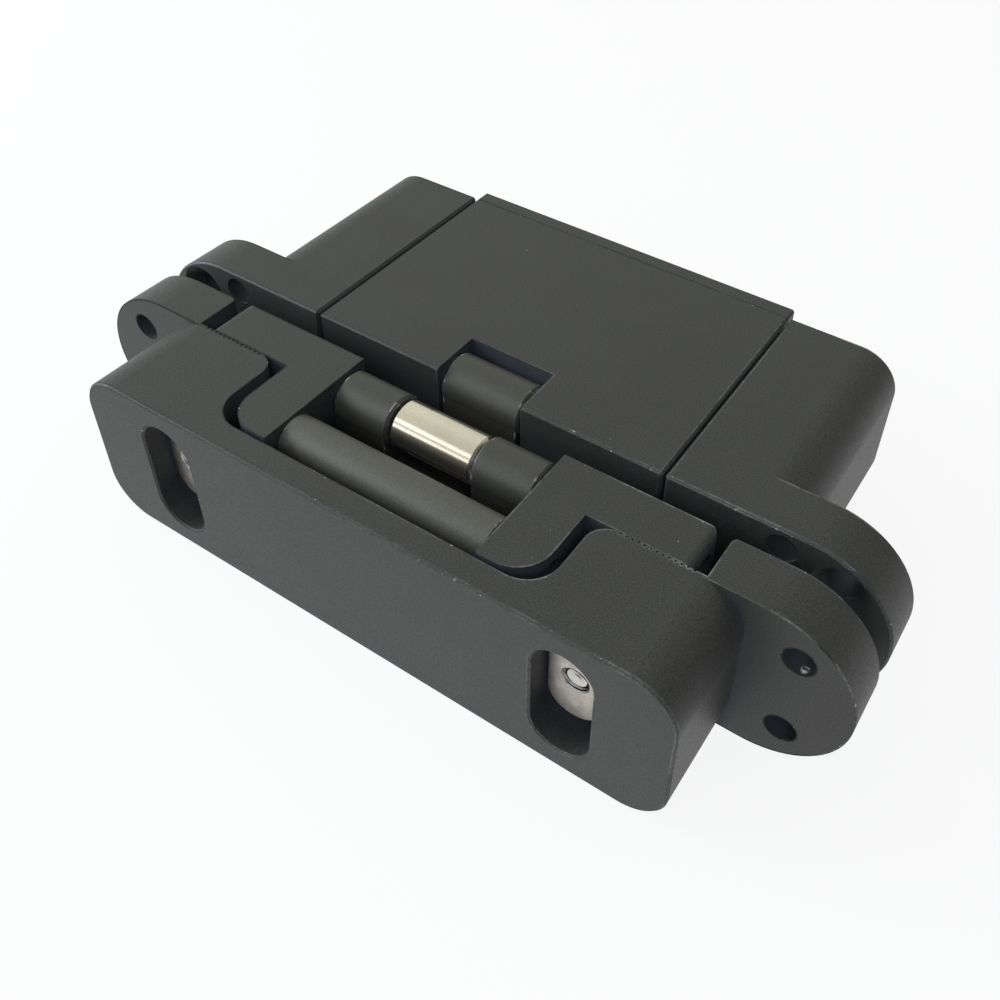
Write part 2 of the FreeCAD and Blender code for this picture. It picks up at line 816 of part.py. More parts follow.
def build_gate_bracket(name, side):
    body = start_body("gate_bracket_" + name)
    half = body_length / 2
    sketch = across(body, gate_face)
    obround(sketch, ZERO, ZERO, plate_length, thickness, False)
    pad(body, sketch, ear_thickness, backwards=True)
    dress(body, "Chamfer", edge_break, lambda x, y, z: same(y, gate_face))
    sketch = across(body, gate_face)
    far = plate_length / 2 * -side
    near = bracket_inner * side
    rectangle(sketch, far, near, -top, top)
    pocket(body, sketch, ear_thickness)
    sketch = across(body, gate_face + ear_thickness)
    rectangle(sketch, near, half * side, -top, top)
    pad(body, sketch, gate_depth - ear_thickness, backwards=True)
    dress(body, "Fillet", body_corner, lambda x, y, z: same(x * side, half) and same(abs(z), top))
    dress(body, "Chamfer", gap_break, lambda x, y, z: same(x, near) and same(abs(z), top))
    dress(body, "Chamfer", edge_break, lambda x, y, z: same(x, near) and same(y, gate_face))

    bore_dowels(body, near, side)
    sketch = across(body, gate_face)
    circle(sketch, adjuster_x * side, adjuster_z, adjuster)
    pocket(body, sketch, adjuster_inset + adjuster_length)
    countersunk_holes(body, gate_face, mount_spots((side,)), True)
    return body


def build_dowels(name, side):
    """The two dowels that line up one bracket with the block."""
    low = block_length / 2 - dowel_bite
    high = bracket_inner + dowel_bite
    radius = dowel / 2
    profile = [
        (low * side, ZERO),
        (low * side, radius),
        (high * side, radius),
        (high * side, ZERO),
    ]
    label = "bracket_dowels_" + name
    first = turned_along_x(label + "_first", profile, gate_face + dowel_first, ZERO)
    second = turned_along_x(label + "_second", profile, gate_face + dowel_second, ZERO)
    return group(label, [first, second])


def build_end_cap():
    body = start_body("end_cap")
    half = block_length / 2
    sketch = across(body, gate_back)
    rectangle(sketch, -half, half, -top, top)
    pad(body, sketch, cap_thickness, backwards=True)
    dress(body, "Chamfer", gap_break, lambda x, y, z: same(abs(x), half) and same(abs(z), top))
    dress(body, "Chamfer", edge_break, lambda x, y, z: same(y, cap_back))
    dress(body, "Chamfer", seam_break, lambda x, y, z: same(y, gate_back))
    head_depth = (cap_screw_head - cap_screw_shank) / 2
    sketch = across(body, gate_back)
    for side in (LEFT, RIGHT):
        circle(sketch, cap_screw_x * side, ZERO, cap_screw_shank)
    pocket(body, sketch, cap_thickness)
    for side in (LEFT, RIGHT):
        x = cap_screw_x * side
        sink_cone(body, x, cap_back, ZERO, cap_screw_head, cap_screw_shank, head_depth, False)
    return body


def build_cap_screws():
    shank = cap_screw_shank / 2
    head = cap_screw_head / 2
    profile = [
        (ZERO, cap_back),
        (head, cap_back),
        (shank, cap_back - (head - shank)),
        (shank, cap_back - cap_screw_length),
        (ZERO, cap_back - cap_screw_length),
    ]
    screw = turned_along_y("cap_screw", profile, cap_screw_x, ZERO)
    sketch = across(screw, cap_back)
    hexagon(sketch, ZERO, ZERO, cap_screw_socket)
    pocket(screw, sketch, cap_screw_socket_depth, backwards=True)
    return group("cap_screws", [screw, mirrored_copy(screw)])


def build_adjuster_screws():
    front = gate_face + adjuster_inset
    radius = adjuster / 2
    profile = [
        (ZERO, front),
        (radius - rim, front),
        (radius, front + rim),
        (radius, front + adjuster_length),
        (ZERO, front + adjuster_length),
    ]
    screw = turned_along_y("adjuster_screw", profile, adjuster_x, adjuster_z)
    sketch = across(screw, front)
    hexagon(sketch, ZERO, ZERO, adjuster_socket)
    pocket(screw, sketch, adjuster_socket_depth)
    return group("adjuster_screws", [screw, mirrored_copy(screw)])


def build_jamb_half():
    nodes = [build_jamb_housing(), build_carriage()]
    for name, side in SIDES.items():
        nodes.append(build_nut_plate(name, side))
        nodes.append(build_clamp_screw(name, side))
    cheek = cheek_gap / 2
    nodes.append(build_barrel("tie_tube", cheek, tie_tube, tie_y, tie_z))
    nodes.append(build_pin("tie_pin", tie_y, tie_z, cheek_span))
    nodes.append(build_pin("jamb_pivot_pin", jamb_pivot_y, pivot_z, arm_span))
    nodes.append(build_barrel("spacer_sleeve", sleeve_length / 2, sleeve, jamb_pivot_y, pivot_z))
    nodes.append(build_washers("jamb_washers", cheek, jamb_pivot_y))
    return nodes


def build_link_and_bushes():
    right_bush = build_bush("link_bush", link_fork_gap / 2, link_span / 2, jamb_pivot_y)
    link_bushes = group("link_bushes", [right_bush, mirrored_copy(right_bush)])
    half = link_centre_width / 2
    gate_bush = build_bush("gate_bush", -half, half, gate_pivot_y)
    return [build_link(), link_bushes, gate_bush]


def build_gate_half():
    nodes = [build_gate_block(), build_end_cap(), build_cap_screws()]
    nodes.append(build_pin("gate_pivot_pin", gate_pivot_y, pivot_z, block_length))
    nodes.append(build_washers("gate_washers", notch_length / 2, gate_pivot_y))
    for name, side in SIDES.items():
        nodes.append(build_gate_bracket(name, side))
        nodes.append(build_dowels(name, side))
    nodes.append(build_adjuster_screws())
    return nodes


def check_and_export(nodes):
    DOC.recompute()
    for thing in DOC.Objects:
        if "Invalid" in thing.State or "Error" in thing.State:
            raise RuntimeError(f"{thing.Label} failed to recompute")
    for node in nodes:
        if node.Shape.isNull() or not node.Shape.isValid():
            raise RuntimeError(f"{node.Label} has no valid shape")
    os.makedirs("parts", exist_ok=True)
    for node in nodes:
        node.Shape.exportStep(f"parts/{node.Label}.step")
        box = node.Shape.BoundBox
        print(f"{node.Label}: {len(node.Shape.Solids)} solid, {node.Shape.Volume:.1f} mm3, "
              f"{box.XLength:.2f} x {box.YLength:.2f} x {box.ZLength:.2f}")


check_and_export(build_jamb_half() + build_link_and_bushes() + build_gate_half())
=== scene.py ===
import math

import bmesh
import bpy
from mathutils import Matrix, Vector


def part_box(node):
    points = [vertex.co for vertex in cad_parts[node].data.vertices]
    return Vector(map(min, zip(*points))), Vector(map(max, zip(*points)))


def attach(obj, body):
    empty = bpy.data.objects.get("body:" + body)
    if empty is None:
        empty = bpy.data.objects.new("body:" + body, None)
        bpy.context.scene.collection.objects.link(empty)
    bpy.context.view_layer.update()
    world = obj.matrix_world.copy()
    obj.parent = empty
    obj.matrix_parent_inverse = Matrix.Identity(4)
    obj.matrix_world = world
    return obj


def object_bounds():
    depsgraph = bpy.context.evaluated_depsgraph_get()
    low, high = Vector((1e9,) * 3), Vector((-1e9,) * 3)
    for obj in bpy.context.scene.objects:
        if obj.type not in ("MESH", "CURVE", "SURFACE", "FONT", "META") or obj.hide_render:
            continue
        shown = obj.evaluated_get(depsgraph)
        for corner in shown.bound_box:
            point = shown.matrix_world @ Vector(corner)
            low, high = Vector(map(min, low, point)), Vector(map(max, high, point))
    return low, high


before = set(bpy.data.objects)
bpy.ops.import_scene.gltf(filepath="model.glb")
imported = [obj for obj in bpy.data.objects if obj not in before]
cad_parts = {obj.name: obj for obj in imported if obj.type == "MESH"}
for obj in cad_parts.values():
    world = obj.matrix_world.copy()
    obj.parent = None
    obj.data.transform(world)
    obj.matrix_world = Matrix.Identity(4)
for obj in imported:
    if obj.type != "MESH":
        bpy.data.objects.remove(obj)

cad_low, cad_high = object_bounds()
centre = (cad_low + cad_high) / 2

MM = 0.001
MICRON = 0.000001


# Camera, at the photograph's viewing angle

CAMERA_PLACE = Vector((73.77, -93.30, 122.11)) * MM
CAMERA_AZIMUTH = 30.667
CAMERA_ELEVATION = 40.297
CAMERA_ROLL = 2.76
CAMERA_LENS = 39.594
CAMERA_SENSOR = 36.0
CAMERA_SHIFT = (-0.0711, -0.1331)


def make_camera():
    """Looks at the hinge from its front right, from above."""
    lens = bpy.data.cameras.new("photo_camera")
    lens.lens = CAMERA_LENS
    lens.sensor_width = CAMERA_SENSOR
    lens.shift_x, lens.shift_y = CAMERA_SHIFT
    lens.clip_start = 1 * MM
    camera = bpy.data.objects.new("photo_camera", lens)
    bpy.context.scene.collection.objects.link(camera)
    turn = Matrix.Rotation(math.radians(CAMERA_AZIMUTH), 4, "Z")
    tip = Matrix.Rotation(math.radians(90 - CAMERA_ELEVATION), 4, "X")
    roll = Matrix.Rotation(math.radians(CAMERA_ROLL), 4, "Z")
    camera.matrix_world = Matrix.Translation(CAMERA_PLACE) @ turn @ tip @ roll
    bpy.context.scene.camera = camera


# Studio: a white floor, a soft sky that is brighter on some sides, and large soft lamps

FLOOR_REACH = 1.5
FLOOR_COLOUR = (0.86, 0.86, 0.86, 1)
FLOOR_WHITE_SEEN = 0.88
FLOOR_WHITE_MIRRORED = 0.96
WHITE = (1, 1, 1, 1)

# The part of the floor under the two housings, which reflections show dark
UNDER_LOW = (-48 * MM, -24 * MM)
UNDER_HIGH = (48 * MM, 47 * MM)
UNDER_FADE = 4 * MM

# Where reflections show some of the white backdrop: a direction, and how near to it that starts and is full
BACKDROP_SIDE = (-0.39, 0.66, 0.65)
BACKDROP_START, BACKDROP_FULL = 0.25, 0.85
BACKDROP_WHITE_MIRRORED = 0.2

# Each side of the sky that gives light: its direction and its colour
SKY = {
    "above": ((0, 0, 1), (0.50, 0.49, 0.43)),
    "left": ((-1, 0, 0), (0.64, 0.66, 0.59)),
    "behind": ((0, 1, 0), (0.40, 0.43, 0.40)),
}

COOL = (0.94, 0.96, 1.0)
PALE_BLUE = (0.80, 0.86, 1.0)
BLUE = (0.60, 0.73, 1.0)
PANE = {"width": 0.7, "height": 0.22, "power": 0.66, "colour": COOL}


class Tree:
    """Short calls that add nodes to a node tree."""

    def __init__(self, tree):
        self.tree = tree

    def feed(self, socket, value):
        """Joins another node's output to a socket, or sets the socket itself."""
        if isinstance(value, bpy.types.NodeSocket):
            self.tree.links.new(value, socket)
        else:
            socket.default_value = value

    def node(self, kind, **settings):
        """A new node with some of its settings."""
        made = self.tree.nodes.new(kind)
        for name, value in settings.items():
            setattr(made, name, value)
        return made

    def math(self, operation, first, second):
        """One step of arithmetic."""
        made = self.node("ShaderNodeMath", operation=operation)
        self.feed(made.inputs[0], first)
        self.feed(made.inputs[1], second)
        return made.outputs[0]

    def plus(self, total, *others):
        """The sum of two or more values."""
        for other in others:
            total = self.math("ADD", total, other)
        return total

    def times(self, total, *others):
        """The product of two or more values."""
        for other in others:
            total = self.math("MULTIPLY", total, other)
        return total

    def vector(self, operation, first, second):
        """One step of arithmetic on vectors."""
        made = self.node("ShaderNodeVectorMath", operation=operation)
        self.feed(made.inputs[0], first)
        self.feed(made.inputs["Scale" if operation == "SCALE" else 1], second)
        return made.outputs["Value" if operation in ("DOT_PRODUCT", "DISTANCE") else "Vector"]

    def between(self, value, low, high, to_low=0.0, to_high=1.0):
        """Maps low to high onto to_low to to_high, smoothly and clamped."""
        made = self.node("ShaderNodeMapRange", interpolation_type="SMOOTHSTEP")
        self.feed(made.inputs["Value"], value)
        self.feed(made.inputs["From Min"], low)
        self.feed(made.inputs["From Max"], high)
        self.feed(made.inputs["To Min"], to_low)
        self.feed(made.inputs["To Max"], to_high)
        return made.outputs["Result"]

    def split(self, vector):
        """The X, Y and Z of a vector."""
        made = self.node("ShaderNodeSeparateXYZ")
        self.feed(made.inputs[0], vector)
        return made.outputs


def beside_object(nodes):
    """0 on the floor under the two housings, and 1 beside them."""
    place = nodes.split(nodes.node("ShaderNodeNewGeometry").outputs["Position"])
    shares = []
    for axis in range(2):
        low, high = UNDER_LOW[axis], UNDER_HIGH[axis]
        shares.append(nodes.between(place[axis], low - UNDER_FADE, low))
        shares.append(nodes.between(place[axis], high + UNDER_FADE, high))
    return nodes.math("SUBTRACT", 1.0, nodes.times(*shares))


def white_share(nodes):
    """How much of the floor is plain white.

    For the camera most of it is, and in reflections nearly all of it beside the hinge.
    """
    path = nodes.node("ShaderNodeLightPath").outputs
    seen = nodes.times(path["Is Camera Ray"], FLOOR_WHITE_SEEN)
    mirrored = nodes.math("MAXIMUM", path["Is Glossy Ray"], path["Is Transmission Ray"])
    mirrored = nodes.times(mirrored, FLOOR_WHITE_MIRRORED, beside_object(nodes))
    return nodes.math("MAXIMUM", seen, mirrored)


def make_floor():
    """A wide pale floor under the hinge: mostly white to the camera, with the shadow kept."""
    mesh = bpy.data.meshes.new("floor")
    reach = FLOOR_REACH
    corners = [(-reach, -reach), (reach, -reach), (reach, reach), (-reach, reach)]
    mesh.from_pydata([(x, y, cad_low.z) for x, y in corners], [], [(0, 1, 2, 3)])
    floor = bpy.data.objects.new("floor", mesh)
    bpy.context.scene.collection.objects.link(floor)

    material = bpy.data.materials.new("pale_floor")
    material.use_nodes = True
    material.node_tree.nodes.clear()
    nodes = Tree(material.node_tree)
    lit = nodes.node("ShaderNodeBsdfDiffuse")
    lit.inputs["Color"].default_value = FLOOR_COLOUR
    white = nodes.node("ShaderNodeEmission")
    white.inputs["Color"].default_value = WHITE
    both = nodes.node("ShaderNodeMixShader")
    nodes.feed(both.inputs[0], white_share(nodes))
    nodes.feed(both.inputs[1], lit.outputs[0])
    nodes.feed(both.inputs[2], white.outputs[0])
    nodes.feed(nodes.node("ShaderNodeOutputMaterial").inputs["Surface"], both.outputs[0])
    mesh.materials.append(material)


def backdrop_share(nodes, direction):
    """How much of the world is plain white: all for the camera, and in reflections some of one side."""
    path = nodes.node("ShaderNodeLightPath").outputs
    mirrored = nodes.math("MAXIMUM", path["Is Glossy Ray"], path["Is Transmission Ray"])
    towards = nodes.vector("DOT_PRODUCT", direction, BACKDROP_SIDE)
    share = nodes.between(towards, BACKDROP_START, BACKDROP_FULL, to_high=BACKDROP_WHITE_MIRRORED)
    return nodes.math("MAXIMUM", path["Is Camera Ray"], nodes.times(mirrored, share))


def make_world():
    """A white backdrop, and for the object a soft sky that is brighter on some sides."""
    world = bpy.data.worlds.new("studio")
    world.use_nodes = True
    bpy.context.scene.world = world
    world.node_tree.nodes.clear()
    nodes = Tree(world.node_tree)
    direction = nodes.node("ShaderNodeTexCoord").outputs["Generated"]
    total = None
    for side, colour in SKY.values():
        facing = nodes.math("MAXIMUM", nodes.vector("DOT_PRODUCT", direction, side), 0.0)
        light = nodes.vector("SCALE", colour, facing)
        total = light if total is None else nodes.vector("ADD", total, light)
    soft = nodes.node("ShaderNodeBackground")
    nodes.feed(soft.inputs["Color"], total)
    white = nodes.node("ShaderNodeBackground")
    white.inputs["Color"].default_value = WHITE
    both = nodes.node("ShaderNodeMixShader")
    nodes.feed(both.inputs[0], backdrop_share(nodes, direction))
    nodes.feed(both.inputs[1], soft.outputs[0])
    nodes.feed(both.inputs[2], white.outputs[0])
    nodes.feed(nodes.node("ShaderNodeOutputWorld").inputs["Surface"], both.outputs[0])


def make_lamp(name, place, width, height, power, colour):
    """A soft rectangular lamp that faces the middle of the hinge. Its place is measured from there."""
    lamp = bpy.data.lights.new(name, "AREA")
    lamp.shape = "RECTANGLE"
    lamp.size = width
    lamp.size_y = height
    lamp.energy = power
    lamp.color = colour
    holder = bpy.data.objects.new(name, lamp)
    bpy.context.scene.collection.objects.link(holder)
    holder.location = centre + Vector(place)
    holder.rotation_mode = "QUATERNION"
    holder.rotation_quaternion = (-Vector(place)).to_track_quat("-Z", "Y")


def make_lamps():
    """A window of two panes at the front left, a pale blue light at the left and a blue fill at the right."""
    make_lamp("upper_pane", place=(-0.38, -0.65, 0.61), **PANE)
    make_lamp("lower_pane", place=(-0.38, -0.84, 0.30), **PANE)
    make_lamp(
        "left_light", place=(-0.50, -0.16, 0.20), width=0.36, height=0.30, power=2.7, colour=PALE_BLUE
    )
    make_lamp(
        "front_fill", place=(0.31, -0.52, 0.52), width=0.45, height=0.45, power=1.7, colour=BLUE
    )


# Finishes

# The range that holds most of a noise, and a narrower one for a stronger grain
NOISE_LOW, NOISE_HIGH = 0.3, 0.7
GRAIN_LOW, GRAIN_HIGH = 0.32, 0.68

EDGE_SAMPLES = 7
EDGE_FULL = 0.12
AIR_SAMPLES = 5
BEVEL_SAMPLES = 3
NEAR_FADE = 0.4 * MM

# The upper hole of a right ear. Each of the four ears has such a hole, and one as far below the middle
EAR_HOLE = Vector((58.2, 0, 7.4)) * MM
EAR_HOLE_RIM = 4.9 * MM

# The right adjuster's bore, which has its twin on the left
ADJUSTER = Vector((49.5, 4.4, 10.6)) * MM
ADJUSTER_RIM = 2.7 * MM

# A small bright spot painted in the wall of the right jamb ear's upper hole
BRIGHT_SPOT = Vector((59.0, -7.5, 5.3)) * MM
BRIGHT_SPOT_REACH = 0.35 * MM

COAT_DARK = (0.020, 0.020, 0.0175, 1)
COAT_LIGHT = (0.041, 0.042, 0.0375, 1)
# Painted shade: a lighter, bluer coat colour that stands in for the navy shade in recesses
COAT_PAINTED_RECESS_SHADE = (0.058, 0.062, 0.075, 1)
# Partly wear and partly a painted highlight: the pale colour of the coat's open outer edges
COAT_RUBBED_AND_HIGHLIGHT = (0.21, 0.21, 0.19, 1)
COAT_CHIPPED = (0.70, 0.70, 0.67, 1)
RIM_RUBBED = (0.50, 0.49, 0.46, 1)
DUST = (0.22, 0.22, 0.21, 1)


class Finish(Tree):
    """One procedural material: a Principled shader, and short calls that add to it."""

    def __init__(self, name):
        self.material = bpy.data.materials.new(name)
        self.material.use_nodes = True
        super().__init__(self.material.node_tree)
        self.shader = self.tree.nodes["Principled BSDF"]
        self.coordinates = self.node("ShaderNodeTexCoord").outputs
        self.place = self.coordinates["Object"]

    def set(self, **values):
        """Sets the shader's own sockets, such as Base_Color or Roughness."""
        for name, value in values.items():
            self.feed(self.shader.inputs[name.replace("_", " ")], value)

    def noise(self, size, detail=2.0, stretch=(1, 1, 1)):
        """Noise whose features are about size metres wide, longer along an axis that is stretched."""
        scaled = self.node("ShaderNodeMapping")
        self.feed(scaled.inputs["Vector"], self.place)
        scaled.inputs["Scale"].default_value = [1 / (size * longer) for longer in stretch]
        made = self.node("ShaderNodeTexNoise")
        self.feed(made.inputs["Vector"], scaled.outputs[0])
        made.inputs["Scale"].default_value = 1.0
        made.inputs["Detail"].default_value = detail
        return made.outputs["Fac"]

    def spread(self, noise, to_low=0.0, to_high=1.0):
        """Maps the range that holds most of a noise onto to_low to to_high."""
        return self.between(noise, NOISE_LOW, NOISE_HIGH, to_low, to_high)

    def around(self, mean, noise, swing):
        """A value that follows a noise, up to a share of its mean to each side."""
        return self.spread(noise, mean * (1 - swing), mean * (1 + swing))

    def specks(self, pitch, radius, share):
        """Scattered dots of up to that radius in a share of the cells, each of its own strength."""
        cells = self.node("ShaderNodeTexVoronoi")
        self.feed(cells.inputs["Vector"], self.place)
        cells.inputs["Scale"].default_value = 1 / pitch
        draws = self.split(cells.outputs["Color"])
        reach = self.times(draws[1], radius / pitch)
        dots = self.math("LESS_THAN", cells.outputs["Distance"], reach)
        chosen = self.math("LESS_THAN", draws[0], share)
        return self.times(dots, chosen, draws[2])

    def facing(self, axis):
        """How far the surface faces along one of the object's own axes, from -1 to 1."""
        return self.split(self.coordinates["Normal"])[axis]

    def outer_edges(self, reach):
        """1 on outward edges: only near them does a ray sent into the solid leave it again within reach."""
        made = self.node("ShaderNodeAmbientOcclusion", inside=True, only_local=True, samples=EDGE_SAMPLES)
        made.inputs["Distance"].default_value = reach
        leaving = self.math("SUBTRACT", 1.0, made.outputs["AO"])
        return self.between(leaving, 0.0, EDGE_FULL)

    def near(self, point, reach, axes=(1, 1, 1)):
        """1 within reach of a point, measured along the axes chosen, and 0 from a little farther on."""
        measured = self.vector("MULTIPLY", self.place, axes)
        target = [part * chosen for part, chosen in zip(point, axes)]
        away = self.vector("DISTANCE", measured, target)
        return self.between(away, reach, reach + NEAR_FADE, to_low=1.0, to_high=0.0)

    def open_air(self, reach):
        """1 on an open surface, and less where other surfaces stand within reach."""
        made = self.node("ShaderNodeAmbientOcclusion", samples=AIR_SAMPLES)
        made.inputs["Distance"].default_value = reach
        return made.outputs["AO"]

    def colour(self, share, first, second):
        """Blends from a first colour to a second by a share from 0 to 1."""
        made = self.node("ShaderNodeMix", data_type="RGBA")
        self.feed(made.inputs["Factor"], share)
        self.feed(made.inputs[6], first)
        self.feed(made.inputs[7], second)
        return made.outputs[2]

    def bump(self, height, depth, under=None):
        """Relief of about depth metres, on top of another normal if there is one."""
        made = self.node("ShaderNodeBump")
        made.inputs["Distance"].default_value = depth
        self.feed(made.inputs["Height"], height)
        if under is not None:
            self.feed(made.inputs["Normal"], under)
        return made.outputs[0]

    def rounded_edges(self, radius):
        """A normal that rounds the edges that are still sharp."""
        made = self.node("ShaderNodeBevel", samples=BEVEL_SAMPLES)
        made.inputs["Radius"].default_value = radius
        return made.outputs[0]


def darker(colour, share):
    """That share of a colour, with its alpha kept."""
    red, green, blue, alpha = colour
    return (share * red, share * green, share * blue, alpha)


def away_from_holes(finish):
    """0 round the ears' holes and the adjusters' bores, whose rims are still coated, and 1 elsewhere."""
    spots = []
    for side in (-1, 1):
        x, y, z = ADJUSTER
        spots.append(finish.near((side * x, y, z), ADJUSTER_RIM))
        x, y, z = EAR_HOLE
        for level in (-1, 1):
            spots.append(finish.near((side * x, y, level * z), EAR_HOLE_RIM, axes=(1, 0, 1)))
    nearest = spots[0]
    for spot in spots[1:]:
        nearest = finish.math("MAXIMUM", nearest, spot)
    return finish.math("SUBTRACT", 1.0, nearest)


def coated_black():
    """Matt charcoal coat: a fine grain, recesses painted a lighter navy for their shade, edges rubbed pale
    and partly painted as highlights, small chips and specks of dust.
    """
    chips_towards_plus_x = 0.05
    edge_roughness = 0.3

    finish = Finish("coated_black_coat")
    cloud = finish.noise(size=14 * MM)
    grain = finish.noise(size=0.30 * MM, detail=3.0)
    fine = finish.noise(size=0.20 * MM)
    tone = finish.plus(
        finish.spread(cloud, to_high=0.15),
        finish.between(grain, GRAIN_LOW, GRAIN_HIGH, to_high=0.5),
        finish.between(fine, GRAIN_LOW, GRAIN_HIGH, to_high=0.35),
    )
    unshaded = finish.colour(tone, COAT_DARK, COAT_LIGHT)
    # Painted shade: where other surfaces stand within 5 mm, the coat turns lighter and bluer, standing in for
    # the navy shade there
    air = finish.open_air(reach=5 * MM)
    painted_recess_shade = finish.between(air, low=0.70, high=0.25)
    base = finish.colour(painted_recess_shade, unshaded, COAT_PAINTED_RECESS_SHADE)

    # Partly wear and partly a painted highlight: open outer edges, away from gaps and holes, are painted
    # pale, more so towards +X
    edge = finish.outer_edges(reach=0.30 * MM)
    towards_plus_x = finish.between(finish.split(finish.place)["X"], low=-45 * MM, high=60 * MM)
    bare_edge = finish.times(edge, finish.between(air, low=0.90, high=0.99))
    open_edge_line = finish.times(bare_edge, towards_plus_x, away_from_holes(finish))
    patches = finish.between(finish.noise(size=9 * MM), low=0.38, high=0.62, to_low=0.3)
    streaks = finish.between(finish.noise(size=0.6 * MM, detail=4.0), low=0.30, high=0.60, to_low=0.4)
    pale_edge_share = finish.times(open_edge_line, finish.times(patches, streaks))
    with_pale_edges = finish.colour(pale_edge_share, base, COAT_RUBBED_AND_HIGHLIGHT)

    knocks = finish.noise(size=0.7 * MM, detail=3.0)
    knocks = finish.plus(knocks, finish.times(towards_plus_x, chips_towards_plus_x))
    chips = finish.times(bare_edge, finish.between(knocks, low=0.70, high=0.75))
    # A small near-white spot painted in the wall of the right jamb ear's upper hole
    bright_spot = finish.near(BRIGHT_SPOT, BRIGHT_SPOT_REACH)
    bright_spot = finish.times(bright_spot, finish.between(streaks, low=0.5, high=0.8))
    chipped = finish.colour(finish.math("MAXIMUM", chips, bright_spot), with_pale_edges, COAT_CHIPPED)

    upward = finish.between(finish.facing("Z"), low=0.6, high=0.9)
    dust = finish.times(upward, finish.specks(pitch=2.4 * MM, radius=0.13 * MM, share=0.28))
    dusty = finish.colour(dust, chipped, DUST)

    normal = finish.bump(grain, depth=9 * MICRON)
    normal = finish.bump(fine, depth=5 * MICRON, under=normal)
    rough = finish.spread(grain, to_low=0.44, to_high=0.60)
    rough = finish.plus(rough, finish.times(edge, edge_roughness))
    sheen = finish.spread(fine, to_low=0.36, to_high=0.64)
    sheen = finish.times(sheen, finish.between(edge, low=0.0, high=1.0, to_low=1.0, to_high=0.4))
    finish.set(Base_Color=dusty, Roughness=rough, Specular_IOR_Level=sheen, Normal=normal)
    return finish.material


def satin_black(name, dark, light, metal, rough):
    """Satin black of the barrels: a dark sheen with a fine grain, and rims rubbed bright."""
    finish = Finish(name)
    grain = finish.noise(size=0.22 * MM, detail=3.0)
    turned = finish.noise(size=0.10 * MM, stretch=(1, 60, 60))
    base = finish.colour(finish.spread(grain), dark, light)
    patches = finish.between(finish.noise(size=1.6 * MM), low=0.54, high=0.68, to_low=0.04)
    pale_edge_share = finish.times(finish.outer_edges(reach=0.28 * MM), patches)
    with_pale_edges = finish.colour(pale_edge_share, base, RIM_RUBBED)
    normal = finish.bump(grain, depth=4 * MICRON, under=finish.rounded_edges(radius=0.15 * MM))
    normal = finish.bump(turned, depth=2 * MICRON, under=normal)
    finish.set(Base_Color=with_pale_edges, Roughness=finish.around(rough, grain, swing=0.12), Normal=normal)
    finish.set(Metallic=metal, Specular_IOR_Level=0.5)
    return finish.material


def turned_steel(name, dark, light, rough, marks):
    """Bright steel with fine marks round the X axis, left by turning, and a thin film of fine dirt."""
    finish = Finish(name)
    turned = finish.noise(size=0.05 * MM, detail=4.0, stretch=(1, 200, 200))
    stain = finish.noise(size=7 * MM, detail=1.0)
    base = finish.colour(finish.spread(stain), dark, light)
    film = finish.noise(size=0.16 * MM, detail=4.0)
    dirt = finish.between(film, low=0.52, high=0.72, to_high=0.45)
    dirty = finish.colour(dirt, base, darker(dark, share=0.62))
    normal = finish.bump(turned, depth=marks, under=finish.rounded_edges(radius=0.08 * MM))
    finish.set(Base_Color=dirty, Metallic=0.95, Normal=normal)
    finish.set(Roughness=finish.around(rough, turned, swing=0.2))
    return finish.material


def plain_metal(name, dark, light, rough, grain_size):
    """Satin metal with a cloudy grain and painted shade in its corners, such as plated nuts, screws or
    bronze.
    """
    finish = Finish(name)
    grain = finish.noise(size=grain_size, detail=4.0)
    cloud = finish.noise(size=1.5 * MM)
    tone = finish.plus(finish.spread(cloud, to_high=0.5), finish.spread(grain, to_high=0.5))
    base = finish.colour(tone, dark, light)
    # Painted shade: the colour darkens where other surfaces stand within 3 mm
    unshaded = finish.between(finish.open_air(reach=3 * MM), low=0.50, high=0.92)
    with_painted_shade = finish.colour(unshaded, darker(dark, share=0.22), base)
    normal = finish.bump(grain, depth=8 * MICRON, under=finish.rounded_edges(radius=0.08 * MM))
    finish.set(Base_Color=with_painted_shade, Metallic=1.0, Normal=normal)
    finish.set(Roughness=finish.around(rough, grain, swing=0.2))
    return finish.material


def washer_polymer():
    """Dull black bearing plastic."""
    dark, light = (0.012, 0.012, 0.013, 1), (0.022, 0.022, 0.023, 1)
    finish = Finish("washer_polymer_black")
    grain = finish.noise(size=0.2 * MM)
    base = finish.colour(finish.spread(grain), dark, light)
    finish.set(Base_Color=base, Roughness=0.5, Normal=finish.bump(grain, depth=4 * MICRON))
    return finish.material


